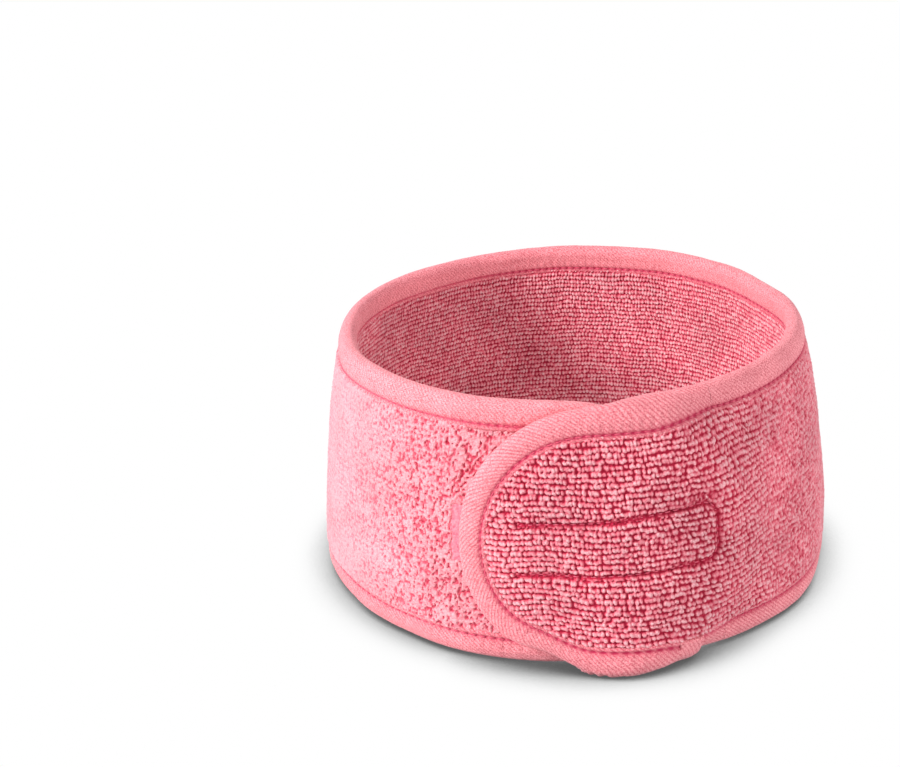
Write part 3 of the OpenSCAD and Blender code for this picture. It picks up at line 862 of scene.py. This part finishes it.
# round the flap's tip
for which in ("flap", "under_end"):
    if which == "flap":
        Ac, Re, sgn, A_root = F_C, F_R, -1, CUTS[0]
    else:
        Ac, Re, sgn, A_root = U_C, U_R, 1, CUTS[-1]
    n_st, a_st, q_st, us = outline(A_root, Ac)
    A0 = np.concatenate([a_st[:-1], np.full(len(q_st), Ac), a_st[::-1][1:]])
    Q0 = np.concatenate([np.zeros(n_st), q_st, np.full(n_st, 180.0)])
    sn, cs = np.sin(np.radians(Q0))[:, None], np.cos(np.radians(Q0))[:, None]
    As = lambda W, A0=A0, sn=sn, Re=Re, sgn=sgn: A0[:, None] + sgn * np.degrees((ZC - W) * sn / Re)
    Vs = lambda W, cs=cs: ZC + (ZC - W) * cs
    # length along the outline, continuous with the straights
    us = float(arc_len(A_root)) + sgn * us
    ring, T, U, W, NN = tape_piece("x", As, Vs, us, None, lap_push if which == "flap" else None)
    NRM, sg = signed(ring)
    ob = tape_mesh(f"edge_tape_{which}", ring, T, U, 0, len(ring) - 1, NRM * sg, sg < 0)
    attach(ob, 0 if which == "flap" else 7)
    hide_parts(f"binding_{which}")
    tapes[(which, 0)] = ob


# ---------------------------------------------------------------- build: lap end
def build_lap():
    """The tape's cut end, turned under and folded round the lower rim."""
    nA, Aw = 34, np.linspace(LAP_A, LAP_A - 5.2, 34)
    keep = np.arange(NW)
    sel = keep[(w_ < TAPE_W - 0.1)]
    W = np.repeat(w_[sel][None], nA, 0)
    NN = np.repeat(n_[sel][None], nA, 0)
    T = np.repeat(t_[sel][None], nA, 0)
    AA = np.repeat(Aw[:, None], len(sel), 1)
    U = arc_len(AA)
    ang = np.where(W < 2.78, np.arctan2(NN / 2.74, (2.78 - W) / 2.78), np.where(NN > 0, math.pi / 2, -math.pi / 2))
    dn0, dw0 = lap_push(AA, W, W, NN)
    fade = smooth((AA - (LAP_A - 5.2)) / 3.5)
    ends = np.sqrt(np.clip(1 - np.clip(1 - (LAP_A - AA) / 0.7, 0, 1) ** 2, 0, 1))
    rise = (0.08 + 0.62 * ends * fade) + 0.05 * vnoise(U / 2.2, T / 2.2, 77)
    outs = []
    for extra in (rise, np.full_like(rise, -0.25)):
        dn, dw = np.sin(ang) * extra, -np.cos(ang) * extra
        outs.append(surf(AA + 0.25 * (extra > 0), W + dw + dw0, NN + dn + dn0))
    top, bot = outs
    nr, m = top.shape[:2]
    verts = np.concatenate([top.reshape(-1, 3), bot.reshape(-1, 3)])
    off = nr * m
    q = [grid_quads(nr, m), grid_quads(nr, m, off, flip=True)]
    for j in (0, m - 1):
        a = np.arange(nr) * m + j
        s = np.stack([a[:-1], a[1:], off + a[1:], off + a[:-1]], -1)
        q.append(s[:, ::-1] if j == 0 else s)
    for i in (0, nr - 1):
        a = i * m + np.arange(m)
        s = np.stack([a[:-1], a[1:], off + a[1:], off + a[:-1]], -1)
        q.append(s if i == 0 else s[:, ::-1])
    rib = 0.5 + 0.5 * np.sin(2 * math.pi * (-U * 0.84 + T * 0.54) / 1.12)
    ob = make_mesh("edge_tape_lap_end", verts, np.concatenate(q), (), None, {"rib": np.tile(rib.ravel(), 2), "groove": np.zeros(rib.size * 2)}, M_TAPE)
    me = ob.data
    import bmesh
    bm = bmesh.new()
    bm.from_mesh(me)
    bmesh.ops.recalc_face_normals(bm, faces=bm.faces)
    bm.to_mesh(me)
    bm.free()
    return ob


lap = build_lap()
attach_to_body(lap, "flap")
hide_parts("binding_lap")


# ---------------------------------------------------------------- build: threads
def capsules(name, centres, dirs, ups, length, rad, mat, bow=0.25):
    """Short stitches: bent capsules that dive in at both ends."""
    segs, sides = 7, 8
    t = np.linspace(-1, 1, segs)
    prof = np.sqrt(np.clip(1 - np.abs(t) ** 4, 0.02, 1)) * rad
    th = np.linspace(0, 2 * math.pi, sides, endpoint=False)
    c = np.asarray(centres)[:, None, None]
    d = np.asarray(dirs)[:, None, None]
    u = np.asarray(ups)[:, None, None]
    s = np.cross(d, u)
    tt, pr = t[None, :, None, None], prof[None, :, None, None]
    P = c + d * tt * length / 2 + u * (-bow * tt ** 4) + pr * (np.cos(th)[None, None, :, None] * s + np.sin(th)[None, None, :, None] * u)
    k = len(centres)
    verts = P.reshape(-1, 3)
    quads, ng = [], []
    for i in range(k):
        o = i * segs * sides
        quads.append(grid_quads(segs, sides, o, wrap=True))
        ng.append([o + j for j in range(sides)][::-1])
        ng.append([o + (segs - 1) * sides + j for j in range(sides)])
    ob = make_mesh(name, verts, np.concatenate(quads), ng, None, None, mat)
    import bmesh
    bm = bmesh.new()
    bm.from_mesh(ob.data)
    bmesh.ops.recalc_face_normals(bm, faces=bm.faces)
    bm.to_mesh(ob.data)
    bm.free()
    return ob


def frames(A, v, n):
    """Centre, direction of travel and outward direction at points on the strip."""
    c = surf(A, v, n)
    up = surf(A, v, n + 0.5 * np.sign(n)) - c
    up /= np.linalg.norm(up, axis=-1, keepdims=True)
    return c, up


def stitch_run(A, v, n):
    c, up = frames(A, v, n)
    d = np.gradient(c, axis=0)
    d -= up * np.sum(d * up, -1, keepdims=True)
    d /= np.linalg.norm(d, axis=-1, keepdims=True)
    return c, d, up


SEAM_N = 2.36
seam = {k: [[], [], []] for k in range(8)}


def add(k, c, d, u):
    for lst, x in zip(seam[k], (c, d, u)):
        lst.append(x)


pitchA = math.degrees(3.0 / R_ARC)
for top in (True, False):
    v0 = H - SEAM_IN if top else SEAM_IN
    A = np.arange(CUTS[0] + pitchA / 2, CUTS[-1], pitchA)
    for sd in (1, -1):
        c, d, u = stitch_run(A, np.full_like(A, v0), np.full_like(A, sd * SEAM_N))
        for k in range(1, 7):
            lo, hi = span_range(k)
            sel = (A >= lo) & (A < hi)
            add(k, c[sel], d[sel], u[sel])
for which, k in (("flap", 0), ("under_end", 7)):
    if which == "flap":
        Ac, Re, sgn, A_root = F_C, F_R, -1, CUTS[0]
    else:
        Ac, Re, sgn, A_root = U_C, U_R, 1, CUTS[-1]
    a_st = np.arange(A_root + sgn * pitchA / 2, Ac, sgn * pitchA)
    nq = int(round(math.pi * (ZC - SEAM_IN) / 3.0))
    q_st = (np.arange(nq) + 0.5) * 180 / nq
    A = np.concatenate([a_st, Ac + sgn * np.degrees((ZC - SEAM_IN) * np.sin(np.radians(q_st)) / Re), a_st[::-1]])
    v = np.concatenate([np.full(len(a_st), H - SEAM_IN), ZC + (ZC - SEAM_IN) * np.cos(np.radians(q_st)), np.full(len(a_st), SEAM_IN)])
    for sd in (1, -1):
        c, d, u = stitch_run(A, v, np.full_like(A, sd * SEAM_N))
        add(k, c, d, u)
for k in range(8):
    c, d, u = (np.concatenate(x) for x in seam[k])
    ob = capsules(f"tape_stitches_{SPAN_NAME[k]}", c, d, u, 2.2, 0.24, M_THREAD)
    attach(ob, k)
    if NODE_OF[k]:
        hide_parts(f"binding_seam_{NODE_OF[k]}")


def resample(pts, pitch):
    seg = np.linalg.norm(np.diff(pts, axis=0), axis=1)
    L = np.concatenate([[0], np.cumsum(seg)])
    x = np.arange(pitch / 2, L[-1], pitch)
    return np.stack([np.interp(x, L, pts[:, 0]), np.interp(x, L, pts[:, 1])], -1)


p = resample(HOOK_PATH, 2.5)
c, d, u = stitch_run(np.degrees(p[:, 0] / R_ARC), p[:, 1], np.full(len(p), 1.70))
ob = capsules("hook_strip_stitches", c, d, u, 1.9, 0.22, M_BOX)
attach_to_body(ob, "flap")
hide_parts("hook_strip_seam")
p = resample(LOOP_PATH, 2.5)
Ap = np.degrees(p[:, 0] / R_ARC)
for part, sel in (("a", Ap < CUTS[-1]), ("b", Ap >= CUTS[-1])):
    c, d, u = stitch_run(Ap, p[:, 1], np.full(len(p), -1.75))
    ob = capsules(f"loop_strip_stitches_{part}", c[sel], d[sel], u[sel], 2.0, 0.22, M_THREAD)
    attach(ob, 6 if part == "a" else 7)
    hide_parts("loop_strip_seam")


# ---------------------------------------------------------------- build: hook and loop strips
def strip(name, a1, a2, z1, z2, n_face, n_back, mat, tex):
    nA = max(8, int((a2 - a1) * math.pi / 180 * R_ARC / 0.32))
    nV = int((z2 - z1) / 0.32)
    A = np.linspace(a1, a2, nA)[:, None] + np.zeros((1, nV))
    V = np.linspace(z1, z2, nV)[None] + np.zeros((nA, 1))
    s = arc_len(A)
    edge = smooth((V - z1) / 0.5) * smooth((z2 - V) / 0.5)
    if tex == "hook":
        i, j = s / 0.96, V / 0.96
        fx, fy = i - np.floor(i) - 0.5, j - np.floor(j) - 0.5
        rel = 0.42 * np.maximum(0, 1 - (fx / 0.36) ** 2 - (fy / 0.30) ** 2) ** 0.5
    else:
        hgt, lx, ly = loops(s, V, 0.95, 0.85, 91, 0.8, 0.0, 0.3)
        rel = 0.34 * hgt + 0.12 * vnoise(s / 2.6, V / 2.2, 92)
    sg = np.sign(n_face)
    P = surf(A, V, n_face + sg * (rel * edge - 0.25 * (1 - edge)))
    Q = surf(A[:, ::6], V[:, ::6], n_back)
    Q = surf(A, V, n_back)
    verts = np.concatenate([P.reshape(-1, 3), Q.reshape(-1, 3)])
    off = nA * nV
    q = [grid_quads(nA, nV), grid_quads(nA, nV, off, flip=True)]
    for j in (0, nV - 1):
        a = np.arange(nA) * nV + j
        x = np.stack([a[:-1], a[1:], off + a[1:], off + a[:-1]], -1)
        q.append(x if j == 0 else x[:, ::-1])
    for i in (0, nA - 1):
        a = i * nV + np.arange(nV)
        x = np.stack([a[:-1], a[1:], off + a[1:], off + a[:-1]], -1)
        q.append(x[:, ::-1] if i == 0 else x)
    ob = make_mesh(name, verts, np.concatenate(q), (), None, None, mat)
    import bmesh
    bm = bmesh.new()
    bm.from_mesh(ob.data)
    bmesh.ops.recalc_face_normals(bm, faces=bm.faces)
    bm.to_mesh(ob.data)
    bm.free()
    return ob


ob = strip("hook_tape", HOOK_A[0], HOOK_A[1], STRIP_Z[0], STRIP_Z[1], -2.25, -1.5, M_HOOK, "hook")
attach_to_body(ob, "flap")
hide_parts("hook_strip")
for part, a1, a2, k, L in (("a", LOOP_A[0], CUTS[-1], 6, 0.0185), ("b", CUTS[-1], LOOP_A[1], 7, 0.0500)):
    ob = strip(f"loop_tape_{part}", a1, a2, STRIP_Z[0], STRIP_Z[1], 2.35, 1.5, M_LOOP, "loop")
    attach(ob, k)
    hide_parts("loop_strip")

# ---------------------------------------------------------------- stage, light, camera
me = bpy.data.meshes.new("floor")
me.from_pydata([(-3, -3, -0.0004), (3, -3, -0.0004), (3, 3, -0.0004), (-3, 3, -0.0004)], [], [(0, 1, 2, 3)])
floor = bpy.data.objects.new("floor", me)
bpy.context.scene.collection.objects.link(floor)
fm, fnt, fb = new_mat("floor_glow_painted_contact_shadow")
fnt.nodes.remove(fb)
# the floor glows evenly white; an ambient occlusion ramp darkens it next to the ring: a painted contact shadow
ao = node(fnt, "ShaderNodeAmbientOcclusion", samples=12)
ao.inputs["Distance"].default_value = 0.023
em = node(fnt, "ShaderNodeEmission")
em.inputs["Strength"].default_value = 1.0
fnt.links.new(ramp(fnt, ao.outputs["AO"], [(0.28, (0.10, 0.10, 0.10, 1)), (0.42, (0.26, 0.26, 0.26, 1)), (0.54, (0.58, 0.58, 0.58, 1)), (0.67, (0.90, 0.90, 0.90, 1)), (0.79, (1, 1, 1, 1))]), em.inputs["Color"])
fnt.links.new(em.outputs[0], fnt.nodes["Material Output"].inputs[0])
me.materials.append(fm)

world = bpy.data.worlds.new("studio")
bpy.context.scene.world = world
world.use_nodes = True
bg = world.node_tree.nodes["Background"]
bg.inputs[0].default_value = (1.0, 1.0, 1.0, 1)
bg.inputs[1].default_value = 0.75


def area(name, loc, target, size, power):
    l = bpy.data.lights.new(name, "AREA")
    l.shape = "DISK"
    l.size = size
    l.energy = power
    o = bpy.data.objects.new(name, l)
    o.location = loc
    o.rotation_euler = (Vector(target) - Vector(loc)).to_track_quat("-Z", "Y").to_euler()
    bpy.context.scene.collection.objects.link(o)
    return o


area("key", (-0.90, -0.45, 0.62), (0, 0, 0.04), 0.40, 16.0)
area("fill", (1.1, -0.5, 0.40), (0, 0, 0.04), 0.9, 5.0)

C = np.array([0.0, -559.122, 285.081])
B = np.array([[0.997481, 0.058919, -0.039506], [0.014654, 0.373758, 0.92741], [-0.069408, 0.925653, -0.371953]])
cam = bpy.data.cameras.new("camera")
cam.lens, cam.sensor_width, cam.sensor_fit = 70.02, 36.0, "HORIZONTAL"
cam.clip_start, cam.clip_end = 0.01, 20
cob = bpy.data.objects.new("camera", cam)
bpy.context.scene.collection.objects.link(cob)
M = Matrix.Identity(4)
for r in range(3):
    M[r][0], M[r][1], M[r][2] = B[0][r], B[1][r], -B[2][r]
    M[r][3] = (C[r] + (SY if r == 1 else 0)) * 0.001
cob.matrix_world = M
bpy.context.scene.camera = cob
bpy.context.scene.view_settings.view_transform = "Standard"
